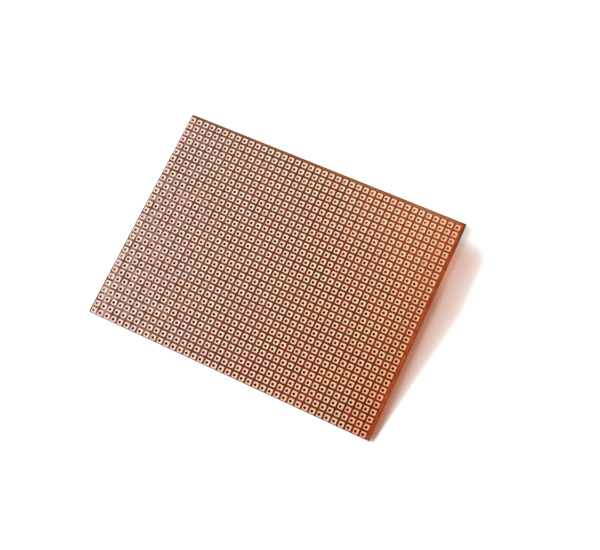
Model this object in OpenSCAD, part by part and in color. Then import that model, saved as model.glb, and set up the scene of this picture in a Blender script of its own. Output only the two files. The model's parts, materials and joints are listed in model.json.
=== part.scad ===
// Prototype board: a sheet of phenolic paper laminate whose upper face carries a
// grid of square copper solder pads, each with a lead hole punched through it.
// It lies flat, copper side up. The origin is the middle of the underside, with
// +X along the rows of pads, +Y towards the back edge and +Z out of the copper side.

/* [Hole grid] */
// Number of holes in each row
columns = 40; // [4:1:44]
// Number of rows of holes
rows = 30; // [4:1:34]
// Distance between the centres of neighbouring holes
pitch = 2.54; // [2.4:0.02:3]
// Diameter of the punched lead holes
hole_d = 0.9; // [0.7:0.05:1.1]

/* [Laminate] */
// Thickness of the laminate
board_t = 1.6; // [0.8:0.1:3.2]
// Laminate left of the first column's hole centres, at the front corner
margin_left = 1.3; // [1.2:0.05:10]
// Laminate right of the last column's hole centres, at the front corner
margin_right = 2.5; // [1.5:0.05:10]
// Laminate in front of the first row's hole centres
margin_front = 1.05; // [1:0.05:10]
// Laminate behind the last row's hole centres, at the right corner
margin_back = 2.3; // [1.6:0.05:10]
// How much less the left edge's shear cut leaves at the back corner
left_cut_skew = 0.3; // [0:0.05:0.5]
// How much less the right edge's shear cut leaves at the back corner
right_cut_skew = 0.2; // [0:0.05:0.6]
// How much less the back edge's shear cut leaves at the left corner
back_cut_skew = 0.4; // [0:0.05:0.6]

/* [Copper] */
// Width of a square pad
pad_w = 1.8; // [1.5:0.05:2]
// Distance across a pad between its etched-off corners
pad_across = 2.46; // [2.2:0.02:2.6]
// Thickness of the copper foil
foil_t = 0.035; // [0.018:0.001:0.14]
// How far the punched holes lie left of the pads' centres
punch_left = 0.14; // [0:0.02:0.18]
// How far the punched holes lie in front of the pads' centres
punch_front = 0.08; // [0:0.02:0.18]

/* [Hidden] */
$fn = 72;
// Flats around a hole of the middle columns. All other holes are true rounds: a grid
// of this size has more facets than one mesh may hold if each of its holes is round
middle_flats = 12;
// Overall size of the board along X and along Y
board_l = (columns - 1) * pitch + margin_left + margin_right;
board_w = (rows - 1) * pitch + margin_front + margin_back;

// Name of a row of pads, counted from the front edge
function row_name(row) = str("pad_row_", row < 10 ? "0" : "", row);

// Centre of a hole in the plan, with columns and rows counted from 1 at the front left
function hole_xy(column, row) = [
    (column - 1) * pitch + margin_left - board_l / 2,
    (row - 1) * pitch + margin_front - board_w / 2
];

// Whether a column is the middle one, or one of the middle two
function is_middle(column) = abs(column - (columns + 1) / 2) < 1;

module lead_hole() {
    circle(d = hole_d);
}

// The same hole with flats that touch the round, so that the same lead passes
module flatted_hole() {
    circle(d = hole_d / cos(180 / middle_flats), $fn = middle_flats);
}

// The sheet as it was sheared, with only its front edge true to the rows of holes
module sheared_outline() {
    left = -board_l / 2;
    right = board_l / 2;
    front = -board_w / 2;
    back = board_w / 2;
    polygon([
        [left, front],
        [right, front],
        [right - right_cut_skew, back],
        [left + left_cut_skew, back - back_cut_skew]
    ]);
}

module laminate() {
    color("#7a3a22")
        linear_extrude(height = board_t)
            difference() {
                sheared_outline();
                for (row = [1 : rows], column = [1 : columns])
                    translate(hole_xy(column, row))
                        if (is_middle(column)) flatted_hole(); else lead_hole();
            }
}

// One pad in plan, with its hole at the origin
module pad_outline() {
    difference() {
        translate([punch_left, punch_front])
            intersection() {
                square(pad_w, center = true);
                circle(d = pad_across);
            }
        lead_hole();
    }
}

// One row of separate pads, bonded to the top of the laminate
module pad_row(row) {
    color("#f0cba8")
        for (column = [1 : columns])
            translate(concat(hole_xy(column, row), board_t))
                linear_extrude(height = foil_t) pad_outline();
}

laminate();
for (row = [1 : rows])
    pad_row(row);
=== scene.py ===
import json
import math

import bpy
from mathutils import Matrix, Quaternion, Vector


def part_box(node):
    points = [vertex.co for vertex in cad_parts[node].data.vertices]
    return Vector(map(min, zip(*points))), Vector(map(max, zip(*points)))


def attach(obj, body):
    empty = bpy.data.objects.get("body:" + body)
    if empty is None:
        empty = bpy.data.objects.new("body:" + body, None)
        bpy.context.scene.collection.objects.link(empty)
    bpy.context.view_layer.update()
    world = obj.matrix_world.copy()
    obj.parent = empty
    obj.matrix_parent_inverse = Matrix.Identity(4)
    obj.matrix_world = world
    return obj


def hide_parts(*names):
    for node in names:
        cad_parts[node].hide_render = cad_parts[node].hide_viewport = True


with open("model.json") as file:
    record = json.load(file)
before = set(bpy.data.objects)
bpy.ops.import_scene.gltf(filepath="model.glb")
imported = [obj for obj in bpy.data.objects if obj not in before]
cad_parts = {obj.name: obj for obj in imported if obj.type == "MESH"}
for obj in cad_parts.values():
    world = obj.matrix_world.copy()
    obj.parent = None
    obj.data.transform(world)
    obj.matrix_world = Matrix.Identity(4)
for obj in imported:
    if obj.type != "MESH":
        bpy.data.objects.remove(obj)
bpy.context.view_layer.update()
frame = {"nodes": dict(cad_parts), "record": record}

# ---------------------------------------------------------------------------
# Laminate: one stiff sheet of kraft paper soaked in phenolic resin and pressed hot.
# Its lead holes are punched in one stroke, which breaks the paper out round them
# underneath, and a guillotine cuts it to size, sheared cleanly above and torn below.

board_low, board_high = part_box("laminate")
first_row_low, first_row_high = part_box("pad_row_01")
second_row_low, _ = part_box("pad_row_02")
pad_rows = sorted(name for name in frame["nodes"] if name.startswith("pad_row_"))
_, last_row_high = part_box(pad_rows[-1])
pitch = second_row_low.y - first_row_low.y
pad_width = first_row_high.y - first_row_low.y
rows = len(pad_rows)
columns = round((first_row_high.x - first_row_low.x - pad_width) / pitch) + 1
corner_hole = next(m for m in frame["record"]["mounts"] if m["name"] == "lead_hole_front_left")
hole_radius = corner_hole["dims"]["r_mm"] / 1000
first_hole = Vector((corner_hole["pos_m"][0], corner_hole["pos_m"][1], 0))
hole_grid_centre = first_hole + Vector(((columns - 1) * pitch / 2, (rows - 1) * pitch / 2, 0))
thickness = board_high.z - board_low.z

# What punching and shearing leave, in metres, with grains in cells a metre.
breakout_width = 0.00012
breakout_depth = 0.0003
chip_spread = 2.4
chip_grain = 2300
top_edge_break = 0.00004
tear_depth = 0.00014
tear_grain = 1100
tear_start, tear_fade = 0.8, 0.6
# The width of a dark line along the cuts, and how much wider it grows.
dark_line_width = 0.0005
wider_dark_line = 0.0003

# How the meshes are cut up: the edges' rows of points as shares of the thickness, and each
# quarter of a hole's rim. Points this near count as the same, or as on an edge.
edge_levels = (0.97, 0.62, 0.3)
points_a_side = 4
merge_distance = 1e-6
edge_tolerance = 2e-6
grid_slack = 1e-5

pad_field_low = Vector((first_row_low.x, first_row_low.y))
pad_field_high = Vector((last_row_high.x, last_row_high.y))
pad_field_centre = (pad_field_low + pad_field_high) / 2
pad_field_half = (pad_field_high - pad_field_low) / 2


def outline_corner(mesh, toward_right, toward_back):
    """The corner of a flat sheet that lies furthest that way."""
    spot = max((v.co for v in mesh.vertices), key=lambda co: toward_right * co.x + toward_back * co.y)
    return Vector((spot.x, spot.y, 0))


cad_sheet = frame["nodes"]["laminate"].data
sheet_corners = [outline_corner(cad_sheet, *way) for way in ((-1, -1), (1, -1), (1, 1), (-1, 1))]


class Flow:
    """A value running through a node tree. Arithmetic on it adds the nodes that work it out."""

    def __init__(self, tree, socket):
        self.tree = tree
        self.socket = socket

    def math(self, operation, *others):
        inputs = dict(enumerate((self, *others)))
        return add_node(self.tree, "ShaderNodeMath", {"operation": operation}, inputs)

    def __add__(self, other):
        return self.math("ADD", other)

    def __sub__(self, other):
        return self.math("SUBTRACT", other)

    def __mul__(self, other):
        return self.math("MULTIPLY", other)

    def __truediv__(self, other):
        return self.math("DIVIDE", other)

    def __mod__(self, other):
        return self.math("FLOORED_MODULO", other)

    def __lt__(self, other):
        return self.math("LESS_THAN", other)

    def __gt__(self, other):
        return self.math("GREATER_THAN", other)

    def __rsub__(self, other):
        return add_node(self.tree, "ShaderNodeMath", {"operation": "SUBTRACT"}, {0: other, 1: self})

    __radd__ = __add__
    __rmul__ = __mul__


def add_node(tree, kind, settings=(), inputs=(), output=0):
    """Adds one node: its settings first, then a value or a link for each named or numbered socket."""
    node = tree.nodes.new(kind)
    for name, value in dict(settings).items():
        setattr(node, name, value)
    for name, value in dict(inputs).items():
        if isinstance(value, Flow):
            tree.links.new(value.socket, node.inputs[name])
        else:
            node.inputs[name].default_value = value
    return Flow(tree, node.outputs[output] if node.outputs else None)


def parts_of(vector):
    """The three numbers of a vector, as flows."""
    node = add_node(vector.tree, "ShaderNodeSeparateXYZ", inputs={0: vector}).socket.node
    return [Flow(vector.tree, node.outputs[axis]) for axis in "XYZ"]


def vector_of(tree, x, y, z):
    """A vector made of three flows or numbers."""
    return add_node(tree, "ShaderNodeCombineXYZ", inputs={"X": x, "Y": y, "Z": z})


def vector_math(operation, first, second):
    """A Vector Math node on two vectors, the first of them a flow."""
    return add_node(first.tree, "ShaderNodeVectorMath", {"operation": operation}, {0: first, 1: second})


def turned(vector, angle):
    """A vector turned about Z."""
    inputs = {"Vector": vector, "Angle": angle}
    return add_node(vector.tree, "ShaderNodeVectorRotate", {"rotation_type": "Z_AXIS"}, inputs)


def smooth_step(value, low, high):
    """0 below low and 1 above high, eased between them."""
    settings = {"interpolation_type": "SMOOTHSTEP"}
    inputs = {"Value": value, "From Min": low, "From Max": high}
    return add_node(value.tree, "ShaderNodeMapRange", settings, inputs)


def noise(place, scale, detail=2, stretch=(1, 1, 1)):
    """Smooth noise from 0 to 1, with scale in cells a metre and more cells where stretch is larger."""
    inputs = {"Vector": vector_math("MULTIPLY", place, stretch), "Scale": scale, "Detail": detail}
    return add_node(place.tree, "ShaderNodeTexNoise", {"noise_dimensions": "3D"}, inputs)


def in_cell(x, y):
    """A point's place in the grid, from the centre of the hole whose cell it is in."""
    across = (x - (first_hole.x - pitch / 2)) % pitch - pitch / 2
    along = (y - (first_hole.y - pitch / 2)) % pitch - pitch / 2
    return across, along


def each_cell(x, y, kind):
    """Random numbers from 0 to 1, one for each cell of the grid. Every kind has its own."""
    column = ((x - (first_hole.x - pitch / 2)) / pitch).math("FLOOR")
    row = ((y - (first_hole.y - pitch / 2)) / pitch).math("FLOOR")
    inputs = {"Vector": vector_of(x.tree, column, row, 0), "W": kind}
    return add_node(x.tree, "ShaderNodeTexWhiteNoise", {"noise_dimensions": "4D"}, inputs)


def length_of(x, y):
    """The length of a flat vector."""
    return (x * x + y * y).math("SQRT")


def new_geometry_tree(name, sizes):
    """A geometry tree with a named input for each size, and those inputs as flows."""
    tree = bpy.data.node_groups.new(name, "GeometryNodeTree")
    kinds = {int: "NodeSocketInt", float: "NodeSocketFloat", Vector: "NodeSocketVector"}
    for label, value in sizes.items():
        kind = kinds.get(type(value), "NodeSocketMaterial")
        tree.interface.new_socket(label, in_out="INPUT", socket_type=kind)
    tree.interface.new_socket("Geometry", in_out="OUTPUT", socket_type="NodeSocketGeometry")
    start = tree.nodes.new("NodeGroupInput")
    return tree, {label: Flow(tree, start.outputs[label]) for label in sizes}


def ring_lattice(tree, segments, bands):
    """A flat lattice to be bent into a ring: its points, and each point's step round and band."""
    inputs = {"Size X": segments, "Size Y": bands, "Vertices X": segments + 1, "Vertices Y": bands + 1}
    lattice = add_node(tree, "GeometryNodeMeshGrid", inputs=inputs)
    across, along, _ = parts_of(add_node(tree, "GeometryNodeInputPosition"))
    return lattice, (across + segments / 2).math("ROUND"), (along + bands / 2).math("ROUND")


def merged(mesh):
    """The mesh with the points that lie on each other made one."""
    inputs = {"Geometry": mesh, "Distance": merge_distance}
    return add_node(mesh.tree, "GeometryNodeMergeByDistance", inputs=inputs)


def bent_into_ring(lattice, step, outer, radius, hole_centre, side_x, side_start, side_gap, height):
    """The lattice bent between a round hole and four sides, of which the right one is given, and closed."""
    tree = lattice.tree
    quarter_turn = math.pi / 2
    turn = (step / points_a_side).math("FLOOR") * -quarter_turn
    point = step % points_a_side
    hole_turn = turn - (point - points_a_side / 2) * (quarter_turn / points_a_side)
    on_hole = vector_math("ADD", turned(vector_of(tree, radius, 0, 0), hole_turn), hole_centre)
    on_side = turned(vector_of(tree, side_x, side_start + point * side_gap, 0), turn)
    ends = {0: outer, 4: on_hole, 5: on_side}
    flat = add_node(tree, "ShaderNodeMix", {"data_type": "VECTOR"}, ends, output=1)
    place = vector_math("ADD", flat, vector_of(tree, 0, 0, height))
    bent = add_node(tree, "GeometryNodeSetPosition", inputs={"Geometry": lattice, "Position": place})
    return merged(bent)


def on_grid(shape, size):
    """A shape repeated at every place of the hole grid, as real faces."""
    tree = shape.tree
    spread = {
        "Size X": (size["Columns"] - 1) * size["Pitch"],
        "Size Y": (size["Rows"] - 1) * size["Pitch"],
        "Vertices X": size["Columns"],
        "Vertices Y": size["Rows"],
    }
    grid = add_node(tree, "GeometryNodeMeshGrid", inputs=spread)
    centred = {"Geometry": grid, "Translation": size["Centre"]}
    places = add_node(tree, "GeometryNodeTransform", inputs=centred)
    repeated = add_node(tree, "GeometryNodeInstanceOnPoints", inputs={"Points": places, "Instance": shape})
    return add_node(tree, "GeometryNodeRealizeInstances", inputs={0: repeated})


def finish_tree(tree, geometry, material):
    """Ends a tree: walls shaded smooth, flat faces flat, all of one material."""
    is_wall = parts_of(add_node(tree, "GeometryNodeInputNormal"))[2].math("ABSOLUTE") < 0.5
    shading = {"Geometry": geometry, "Shade Smooth": is_wall}
    smoothed = add_node(tree, "GeometryNodeSetShadeSmooth", inputs=shading)
    real = add_node(tree, "GeometryNodeRealizeInstances", inputs={0: smoothed})
    painted = add_node(tree, "GeometryNodeSetMaterial", inputs={"Geometry": real, "Material": material})
    end = tree.nodes.new("NodeGroupOutput")
    tree.links.new(painted.socket, end.inputs[0])


def mesh_object(name, tree, sizes):
    """Runs a geometry tree with its sizes and keeps the result as a plain mesh object."""
    maker = bpy.data.objects.new(name + "_maker", bpy.data.meshes.new(name + "_maker"))
    bpy.context.scene.collection.objects.link(maker)
    modifier = maker.modifiers.new("shape", "NODES")
    modifier.node_group = tree
    for item in tree.interface.items_tree:
        if item.in_out == "INPUT":
            modifier[item.identifier] = sizes[item.name]
    bpy.context.view_layer.update()
    evaluated = maker.evaluated_get(bpy.context.evaluated_depsgraph_get())
    mesh = bpy.data.meshes.new_from_object(evaluated)
    bpy.data.objects.remove(maker)
    piece = bpy.data.objects.new(name, mesh)
    bpy.context.scene.collection.objects.link(piece)
    return piece


def sheet_tree(sizes):
    """The sheet: pierced cells over the whole grid, stretched to the sheared outline, and cut edges."""
    tree, size = new_geometry_tree("pierced_sheet", sizes)

    # A cell's bands run in along the underside to the broken-out rim, up the wall and out on top.
    lattice, step, band = ring_lattice(tree, 4 * points_a_side, 4)
    underside_rim = (band - 1).math("ABSOLUTE") < 0.5
    wall_foot = (band - 2).math("ABSOLUTE") < 0.5
    outer = (band - 2).math("ABSOLUTE") > 1.5
    radius = size["Hole radius"] + underside_rim * size["Breakout width"]
    height = (band > 2.5) * size["Thickness"] + wall_foot * size["Breakout depth"]
    half = size["Pitch"] / 2
    gap = size["Pitch"] / -points_a_side
    no_offset = vector_of(tree, 0, 0, 0)
    cell = bent_into_ring(lattice, step, outer, radius, no_offset, half, half, gap, height)
    joined = merged(on_grid(cell, size))

    # The outermost points move to the four cuts. Two rounds settle the corners, where two cuts meet.
    x, y, z = parts_of(add_node(tree, "GeometryNodeInputPosition"))
    centre_x, centre_y, _ = parts_of(size["Centre"])
    reach_x = size["Columns"] * half - grid_slack
    reach_y = size["Rows"] * half - grid_slack
    at_left = (centre_x - x) > reach_x
    at_right = (x - centre_x) > reach_x
    at_front = (centre_y - y) > reach_y
    at_back = (y - centre_y) > reach_y
    low_x, low_y, _ = parts_of(size["Front left"])
    front_x, _, _ = parts_of(size["Front right"])
    right_x, right_y, _ = parts_of(size["Back right"])
    left_x, left_y, _ = parts_of(size["Back left"])
    left_slope = (left_x - low_x) / (left_y - low_y)
    right_slope = (right_x - front_x) / (right_y - low_y)
    back_slope = (right_y - left_y) / (right_x - left_x)
    new_x = x
    for _ in range(2):
        back_line = left_y + (new_x - left_x) * back_slope
        new_y = y + at_front * (low_y - y) + at_back * (back_line - y)
        left_line = low_x + (new_y - low_y) * left_slope
        right_line = front_x + (new_y - low_y) * right_slope
        new_x = x + at_left * (left_line - x) + at_right * (right_line - x)
    stretched = {"Geometry": joined, "Position": vector_of(tree, new_x, new_y, z)}
    sheared = add_node(tree, "GeometryNodeSetPosition", inputs=stretched)

    # The open border of the top is drawn down into the edges, row by row, to meet the underside.
    faces_beside = add_node(tree, "GeometryNodeInputMeshEdgeNeighbors")
    growing = (faces_beside < 1.5) * (z > size["Thickness"] / 2)
    solid = sheared
    level = 1.0
    for next_level in (*edge_levels, 0.0):
        drop = vector_of(tree, 0, 0, (next_level - level) * size["Thickness"])
        inputs = {"Mesh": solid, "Selection": growing, "Offset": drop}
        solid = add_node(tree, "GeometryNodeExtrudeMesh", {"mode": "EDGES"}, inputs)
        growing = Flow(tree, solid.socket.node.outputs["Top"])
        level = next_level
    closed = merged(solid)

    # The edges are torn below and broken at the top, and each hole's rim is chipped underneath.
    place = add_node(tree, "GeometryNodeInputPosition")
    share = z / size["Thickness"]
    torn_share = smooth_step(tear_start - share, 0, tear_fade)
    tear = size["Tear depth"] * torn_share * noise(place, tear_grain, detail=1)
    inset = tear + size["Top edge break"] * (share > 0.99)
    left_edge = (x - low_x - (y - low_y) * left_slope) < edge_tolerance
    front_edge = (y - low_y) < edge_tolerance
    right_edge = (front_x + (y - low_y) * right_slope - x) < edge_tolerance
    back_edge = (left_y + (x - left_x) * back_slope - y) < edge_tolerance
    across, along = in_cell(x, y)
    from_hole = length_of(across, along)
    rim_radius = size["Hole radius"] + size["Breakout width"]
    at_rim = (share < 0.01) * ((from_hole - rim_radius).math("ABSOLUTE") < edge_tolerance)
    chip_depth = size["Breakout width"] * chip_spread
    chipped = at_rim * (noise(place, chip_grain, detail=1) - 0.5) * chip_depth / from_hole
    move = vector_of(
        tree,
        (left_edge - right_edge) * inset + chipped * across,
        (front_edge - back_edge) * inset + chipped * along,
        0,
    )
    torn = add_node(tree, "GeometryNodeSetPosition", inputs={"Geometry": closed, "Offset": move})
    finish_tree(tree, torn, size["Material"])
    return tree


def start_material(name):
    """A material with an empty tree, and its Object coordinates."""
    material = bpy.data.materials.new(name)
    material.use_nodes = True
    tree = material.node_tree
    tree.nodes.clear()
    return material, tree, add_node(tree, "ShaderNodeTexCoord", output="Object")


def mix_colour(factor, first, second):
    """The first colour where the factor is 0 and the second where it is 1."""
    inputs = {0: factor, 6: first, 7: second}
    return add_node(factor.tree, "ShaderNodeMix", {"data_type": "RGBA"}, inputs, output=2)


def shaded(colour, amount):
    """A colour made darker or lighter by a flow."""
    return vector_math("MULTIPLY", colour, vector_of(colour.tree, amount, amount, amount))


def finish_material(tree, settings, height=None, height_range=0.0):
    """The Principled shader and the output, with a bump where height is given."""
    inputs = dict(settings)
    if height is not None:
        bump = {"Height": height, "Distance": height_range, "Strength": 1.0}
        inputs["Normal"] = add_node(tree, "ShaderNodeBump", inputs=bump)
    shader = add_node(tree, "ShaderNodeBsdfPrincipled", inputs=inputs)
    add_node(tree, "ShaderNodeOutputMaterial", inputs={"Surface": shader})


def share_across(x):
    """0 at the left edge of the board and 1 at the right."""
    return (x - board_low.x) / (board_high.x - board_low.x)


def share_back(y):
    """0 at the front edge of the board and 1 at the back."""
    return (y - board_low.y) / (board_high.y - board_low.y)


def from_the_cut(x, y):
    """How far inside the sheared outline a point lies."""
    nearest = board_high.x - board_low.x
    for start, end in zip(sheet_corners, sheet_corners[1:] + sheet_corners[:1]):
        way = (end - start).normalized()
        nearest = ((y - start.y) * way.x - (x - start.x) * way.y).math("MINIMUM", nearest)
    return nearest


def phenolic_paper():
    """Red-brown resin-soaked paper, smooth on the faces and torn on the cut edges and in the holes."""
    material, tree, place = start_material("phenolic_paper")
    x, y, z = parts_of(place)
    resin = (0.285, 0.033, 0.004, 1)
    crimson_resin = (0.12, 0.027, 0.012, 1)
    dark_resin = (0.07, 0.016, 0.003, 1)
    olive_resin = (0.145, 0.045, 0.006, 1)
    plain_resin = (0.26, 0.060, 0.016, 1)
    plain_dark_resin = (0.15, 0.034, 0.010, 1)
    glare_sheen = (0.52, 0.32, 0.29, 1)
    lit_side_margin_resin = (0.31, 0.042, 0.010, 1)
    streaked_resin = (0.46, 0.085, 0.02, 1)
    lit_back_margin_resin = (0.41, 0.18, 0.075, 1)
    dark_line_resin = (0.085, 0.022, 0.009, 1)
    torn_paper = (0.34, 0.125, 0.048, 1)
    cut_resin = (0.15, 0.034, 0.011, 1)
    sheared_resin = (0.115, 0.026, 0.009, 1)
    punched_wall = (0.30, 0.05, 0.010, 1)
    lit_wall = (0.70, 0.42, 0.20, 1)
    first_column_lit_wall = (0.66, 0.57, 0.50, 1)
    mottle_scale, fibre_scale, patch_scale, glare_scale = 330, 900, 270, 480
    ply_scale, fuzz_scale = 5200, 2600
    bare_fade, back_fade, halo_width = 0.0006, 0.0004, 0.00035
    dark_line_strength, less_at_right, less_at_back = 0.85, 0.75, 0.25
    wall_kind = 3.0
    relief = 0.00002

    # The copper side: mottled resin, paler towards the back right, with bare margins round the pads painted
    # lighter, as if lit through the resin where no pads shade it.
    mottle = smooth_step(noise(place, mottle_scale, detail=3), 0.3, 0.75)
    fibres = noise(place, fibre_scale, detail=3, stretch=(0.12, 1, 1))
    face = mix_colour(mottle * 0.7 + fibres * 0.3, dark_resin, resin)
    patches = smooth_step(noise(place, patch_scale, stretch=(1, 1.3, 1)), 0.5, 0.7)
    face = mix_colour(patches, face, olive_resin)
    # The resin is paler towards the back right.
    paler_to_back_right = smooth_step(share_back(y) * 0.4 + share_across(x) * 0.6, 0.6, 1)
    face = mix_colour(paler_to_back_right * 0.5, face, streaked_resin)
    beyond_x = (x - pad_field_centre.x).math("ABSOLUTE") - pad_field_half.x
    beyond_y = (y - pad_field_centre.y).math("ABSOLUTE") - pad_field_half.y
    bare = smooth_step(beyond_x.math("MAXIMUM", beyond_y), 0, bare_fade)
    behind_pads = smooth_step(y, pad_field_high.y, pad_field_high.y + back_fade)
    # Painted light: the bare margins are lighter than the resin between the pads.
    side_margin = mix_colour(mottle, lit_side_margin_resin, streaked_resin)
    back_margin = mix_colour(mottle, lit_back_margin_resin, streaked_resin)
    face = mix_colour(bare, face, mix_colour(behind_pads, side_margin, back_margin))

    # A dark line along the cuts, faint at the right apart from the back corner.
    right_side = smooth_step(share_across(x), 0.97, 0.99)
    back_right_corner = smooth_step(share_back(y), 0.8, 1) * right_side
    width = dark_line_width + (behind_pads * 0.5 + back_right_corner) * wider_dark_line
    dark_line = 1 - smooth_step(from_the_cut(x, y) / width, 0.35, 1)
    spared = (right_side - back_right_corner) * less_at_right
    spared = spared + behind_pads * (1 - back_right_corner) * less_at_back
    face = mix_colour(dark_line * (dark_line_strength - spared), face, dark_line_resin)

    # Towards the left the resin turns crimson under a painted milky sheen of glare.
    toward_left = 1 - share_across(x)
    face = mix_colour(toward_left.math("POWER", 2) * 0.7, face, crimson_resin)
    glare_share = toward_left.math("POWER", 4) * (0.62 - share_back(y) * 0.38)
    glare_patches = smooth_step(noise(place, glare_scale), 0.35, 0.65)
    face = mix_colour(glare_share * (0.15 + glare_patches * 1.4), face, glare_sheen)

    # The underside is plain, and the resin is a little paler round each hole.
    facing_up = parts_of(add_node(tree, "ShaderNodeNewGeometry", output="Normal"))[2]
    underside = mix_colour(mottle * 0.4 + fibres * 0.6, plain_dark_resin, plain_resin)
    face = mix_colour(facing_up < -0.7, face, underside)
    from_hole = length_of(*in_cell(x, y))
    halo = (1 - smooth_step(from_hole, hole_radius, hole_radius + halo_width)) * (1 - bare) * 0.3
    face = mix_colour(halo, face, streaked_resin)

    # The cut edges: plies and torn fibres, and above them the smooth band that the blade sheared.
    cut = 1 - smooth_step(facing_up.math("ABSOLUTE"), 0.3, 0.7)
    layers = noise(place, ply_scale, stretch=(0.05, 0.05, 1))
    fuzz = noise(place, fuzz_scale)
    torn = mix_colour(smooth_step(layers * 0.6 + fuzz * 0.4, 0.38, 0.62), cut_resin, torn_paper)
    torn = mix_colour(smooth_step(z / thickness + fuzz * 0.3, 0.68, 0.9), torn, sheared_resin)

    # The punched walls: painted paler at the back right and in the first column, as light seen through
    # them, each hole of its own shade.
    in_hole = (from_hole < hole_radius + breakout_width) * (bare < 0.5)
    lit_wall_share = smooth_step(share_back(y), 0.6, 1) * (0.3 + share_across(x) * 0.7)
    wall = mix_colour(lit_wall_share, punched_wall, lit_wall)
    wall = mix_colour((x < first_hole.x + pitch / 2) * 0.8, wall, first_column_lit_wall)
    wall = shaded(wall, 0.55 + each_cell(x, y, wall_kind) * 0.9)
    torn = mix_colour(in_hole, torn, wall)
    surface = {
        "Base Color": mix_colour(cut, face, torn),
        "Roughness": 0.42 + fibres * 0.12 + cut * 0.3,
        "Specular IOR Level": 0.06,
    }
    finish_material(tree, surface, fibres * 0.5 + layers * cut, relief)
    return material


sheet_sizes = {
    "Columns": columns, "Rows": rows, "Pitch": pitch, "Centre": hole_grid_centre,
    "Thickness": thickness, "Hole radius": hole_radius,
    "Breakout width": breakout_width, "Breakout depth": breakout_depth,
    "Top edge break": top_edge_break, "Tear depth": tear_depth,
    "Front left": sheet_corners[0], "Front right": sheet_corners[1],
    "Back right": sheet_corners[2], "Back left": sheet_corners[3],
    "Material": phenolic_paper(),
}
punched_sheet = mesh_object("punched_sheet", sheet_tree(sheet_sizes), sheet_sizes)
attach(punched_sheet, "root")
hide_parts("laminate")

# ---------------------------------------------------------------------------
# Copper pads: squares of 35 micron foil bonded to the laminate, left when the rest
# was etched away, so their sides slope. The punch came down through them and drew
# the copper in round each hole. A thin lacquer keeps them solderable.

pad_corner_width = 0.00246
foil = last_row_high.z - board_high.z
pad_grid_centre = Vector((pad_field_centre.x, pad_field_centre.y, board_high.z))
drawn_in = 0.00005
etched_slope = 0.00002
rim_width = 0.00017


def pad_tree(sizes):
    """A square pad with a round hole: a closed ring of four bands of faces, repeated over the grid."""
    tree, size = new_geometry_tree("pads_on_a_grid", sizes)

    # The bands run up the hole's wall, out along the top, down the sloping side and back below.
    lattice, step, band = ring_lattice(tree, 4 * points_a_side, 4)
    raised = (band - 1.5).math("ABSOLUTE") < 1
    outer = (band - 2.5).math("ABSOLUTE") < 1
    radius = size["Hole radius"] + raised * size["Drawn in"]
    inset = raised * size["Etched slope"]
    half = size["Pad width"] / 2 - inset
    across = size["Corner width"] / 2 - inset
    flat_half = (across * across - half * half).math("SQRT")
    gap = flat_half * (-2 / (points_a_side - 1))
    height = raised * size["Foil"]
    pad = bent_into_ring(lattice, step, outer, radius, size["Hole offset"], half, flat_half, gap, height)
    finish_tree(tree, on_grid(pad, size), size["Material"])
    return tree


def copper_foil():
    """Copper under a thin lacquer: each pad of its own tint, painted paler towards the left as glare, and
    painted darker round each hole as shade.
    """
    material, tree, place = start_material("copper_foil")
    x, y, z = parts_of(place)
    fresh = (1.0, 0.475, 0.285, 1)
    golden = (1.0, 0.68, 0.39, 1)
    glare_pale = (1.0, 0.81, 0.715, 1)
    rosy = (1.02, 0.82, 0.90, 1)
    yellowish = (0.98, 1.06, 0.86, 1)
    darker_right_copper = (0.88, 0.36, 0.20, 1)
    painted_rim_shade = (0.38, 0.15, 0.065, 1)
    tint_kind, shade_kind = 5.0, 7.0
    cloud_scale, grain_scale = 90, 6000
    relief = 0.000004
    each_pad = each_cell(x, y, tint_kind)
    clouds = noise(place, cloud_scale, detail=3)
    grain = noise(place, grain_scale, stretch=(1, 0.1, 1))
    colour = mix_colour(share_back(y), fresh, golden)
    # Painted glare: the copper is paler towards the left.
    colour = mix_colour(1 - share_across(x).math("POWER", 2), colour, glare_pale)
    # The copper is darker and redder in the last columns at the right.
    colour = mix_colour(smooth_step(share_across(x), 0.88, 1) * 0.5, colour, darker_right_copper)
    tint = mix_colour(each_pad * 0.5 + clouds * 0.5, rosy, yellowish)
    colour = vector_math("MULTIPLY", colour, tint)
    colour = shaded(colour, 0.98 + each_cell(x, y, shade_kind) * 0.12)
    from_hole = length_of(*in_cell(x, y))
    # Painted shade: the copper is darker round each hole, where the punch drew it in.
    rim = 1 - smooth_step(from_hole, hole_radius + drawn_in, hole_radius + rim_width)
    surface = {
        "Base Color": mix_colour(rim * 0.6, colour, painted_rim_shade),
        "Roughness": 0.24 + grain * 0.06 + each_pad * 0.06 + rim * 0.25,
        "Metallic": 1.0,
        "Coat Weight": 0.6,
        "Coat Roughness": 0.2,
    }
    finish_material(tree, surface, grain, relief)
    return material


hole_offset = hole_grid_centre - pad_grid_centre
pad_sizes = {
    "Columns": columns, "Rows": rows, "Pitch": pitch, "Centre": pad_grid_centre,
    "Pad width": pad_width, "Corner width": pad_corner_width, "Foil": foil,
    "Hole radius": hole_radius, "Hole offset": Vector((hole_offset.x, hole_offset.y, 0)),
    "Drawn in": drawn_in, "Etched slope": etched_slope, "Material": copper_foil(),
}
copper_pads = mesh_object("copper_pads", pad_tree(pad_sizes), pad_sizes)
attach(copper_pads, "root")
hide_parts(*pad_rows)

# ---------------------------------------------------------------------------
# Floor: a plain pale tabletop, seen as white. Its material paints a wide, warm, soft shadow to the right of
# the board and dark shade under it, and a glow under the holes at the back right and in the first column,
# as painted light seen through them.

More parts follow.
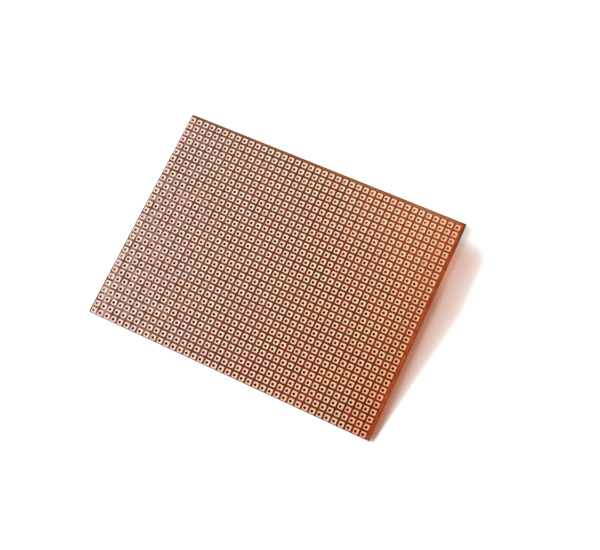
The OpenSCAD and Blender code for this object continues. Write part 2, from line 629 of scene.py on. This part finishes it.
floor_reach = 3.0
floor_drop = 0.00001
under_edge = 0.0005
least_reach, reach_toward_back, most_reach = 0.0012, 0.0133, 0.0085
close_reach = 0.0035
side_blend, ends_blend, back_blend = (-0.001, 0), (-0.003, 0.001), (-0.011, -0.003)
white_fill = 0.35
light_kind = 9.0
pale_top = (0.93, 0.93, 0.93, 1)
painted_shadow_top = (0.77, 0.54, 0.46, 1)
painted_red_shadow_top = (0.66, 0.25, 0.13, 1)
painted_shade_under_board = (0.44, 0.16, 0.05, 1)
white_glow = (1, 1, 1, 1)
painted_edge_glow = (1, 0.25, 0.08, 1)
painted_hole_glow = (1, 0.50, 0.24, 1)
painted_first_column_glow = (1, 0.86, 0.75, 1)


def seen_or_mirrored(tree):
    """1 for what the camera sees, straight, mirrored or through glass, and 0 for all other light."""
    path = add_node(tree, "ShaderNodeLightPath").socket.node
    ways = ("Camera", "Glossy", "Transmission")
    sight, mirror, glass = (Flow(tree, path.outputs[f"Is {way} Ray"]) for way in ways)
    return sight.math("MAXIMUM", mirror).math("MAXIMUM", glass)


floor_mesh = bpy.data.meshes.new("floor")
floor_corners = [(x * floor_reach, y * floor_reach, 0) for x, y in ((-1, -1), (1, -1), (1, 1), (-1, 1))]
floor_mesh.from_pydata(floor_corners, [], [(0, 1, 2, 3)])
floor_mesh.transform(Matrix.Translation((0, 0, -floor_drop)))
floor = bpy.data.objects.new("floor", floor_mesh)
bpy.context.scene.collection.objects.link(floor)
floor_material, floor_tree, floor_place = start_material("pale_floor")
floor_x, floor_y, _ = parts_of(floor_place)
beyond_x = floor_x.math("ABSOLUTE") - board_high.x
beyond_y = floor_y.math("ABSOLUTE") - board_high.y
under_board = beyond_x.math("MAXIMUM", beyond_y) < -under_edge

# The painted shadow is widest towards the back and ends short of the back corner. Close to the board it is
# painted red, with a painted red glow, except towards the back, where it is painted lighter, as if more
# light gets in.
to_the_right = floor_x - board_high.x
beside_it = smooth_step(to_the_right, *side_blend) * (1 - smooth_step(beyond_y, *ends_blend))
close_by = beside_it * (1 - smooth_step(to_the_right, 0, close_reach))
open_edge = smooth_step(share_back(floor_y), 0.62, 0.78)
shadow_reach = least_reach + (share_back(floor_y) * reach_toward_back).math("MINIMUM", most_reach)
at_back_corner = smooth_step(floor_y - board_high.y, *back_blend)
painted_shadow = beside_it * (1 - smooth_step(to_the_right / shadow_reach, 0.5, 1.35)) * (1 - at_back_corner * 0.8)
open_floor = mix_colour(painted_shadow, pale_top, painted_shadow_top)
open_floor = mix_colour(painted_shadow * close_by * (0.8 - open_edge * 0.8), open_floor, painted_red_shadow_top)

# Painted light seen through the holes: the floor under them glows, a different share under each one.
first_column = under_board * (floor_x < first_hole.x + pitch / 2)
toward_back_right = smooth_step(share_back(floor_y), 0.6, 1) * (0.2 + share_across(floor_x) * 0.8)
painted_light_in = (under_board * toward_back_right).math("MAXIMUM", first_column)
painted_light_in = painted_light_in * (0.3 + each_cell(floor_x, floor_y, light_kind) * 1.4)

glow = mix_colour(under_board, painted_edge_glow, painted_hole_glow)
glow = mix_colour(first_column, glow, painted_first_column_glow)
glow = mix_colour(under_board.math("MAXIMUM", painted_shadow), white_glow, glow)
glow_level = white_fill * (1 - smooth_step(painted_shadow, 0, 0.6).math("MAXIMUM", under_board))
glow_level = glow_level + painted_shadow * close_by * (0.17 + open_edge * 0.2) + painted_light_in * 0.5
# Under the board the tabletop is painted dark, as its shade.
matt = {
    "Base Color": mix_colour(under_board, open_floor, painted_shade_under_board),
    "Roughness": 0.9,
    "Emission Color": shaded(glow, seen_or_mirrored(floor_tree) * glow_level),
    "Emission Strength": 1.0,
}
finish_material(floor_tree, matt)
floor_mesh.materials.append(floor_material)

# ---------------------------------------------------------------------------
# Light: one wide, soft, low light from the left, which isn't mirrored, and an even pale
# surround, which is all that the copper mirrors.

surround_level = 0.57
key_level = 0.47
key_angle = math.radians(40)
key_direction = Vector((-0.9, -0.1, 0.5)).normalized()
world = bpy.data.worlds.new("surround")
bpy.context.scene.world = world
world.use_nodes = True
sky = world.node_tree
sky.nodes.clear()
sky_level = surround_level + seen_or_mirrored(sky) * (1 - surround_level)
shone = add_node(sky, "ShaderNodeBackground", inputs={"Color": (1, 1, 1, 1), "Strength": sky_level})
add_node(sky, "ShaderNodeOutputWorld", inputs={"Surface": shone})

key_light = bpy.data.lights.new("key_light", "SUN")
key_light.angle = key_angle
key_light.energy = key_level * math.pi / key_direction.z
key_lamp = bpy.data.objects.new("key_light", key_light)
key_lamp.visible_glossy = False
key_lamp.rotation_euler = key_direction.to_track_quat("Z", "Y").to_euler()
bpy.context.scene.collection.objects.link(key_lamp)

# ---------------------------------------------------------------------------
# Camera: looks down on the copper side from the front right, turned so that the
# board's long edges fall to the right.

camera_place = Vector((0.09232, -0.06102, 0.34509))
camera_aim = Vector((0.01151, 0.00997, last_row_high.z))
camera_roll = math.radians(-24.28)
film_width_mm = 36
focal_length_mm = 65.62
picture_shift = (-0.0333, -0.0333)
camera_data = bpy.data.cameras.new("camera")
camera_data.sensor_width = film_width_mm
camera_data.lens = focal_length_mm
camera_data.shift_x, camera_data.shift_y = picture_shift
camera = bpy.data.objects.new("camera", camera_data)
level_view = (camera_aim - camera_place).to_track_quat("-Z", "Y")
rolled_view = level_view @ Quaternion((0, 0, 1), camera_roll)
camera.matrix_world = Matrix.Translation(camera_place) @ rolled_view.to_matrix().to_4x4()
bpy.context.scene.collection.objects.link(camera)
bpy.context.scene.camera = camera

bpy.context.scene.view_settings.view_transform = "Standard"
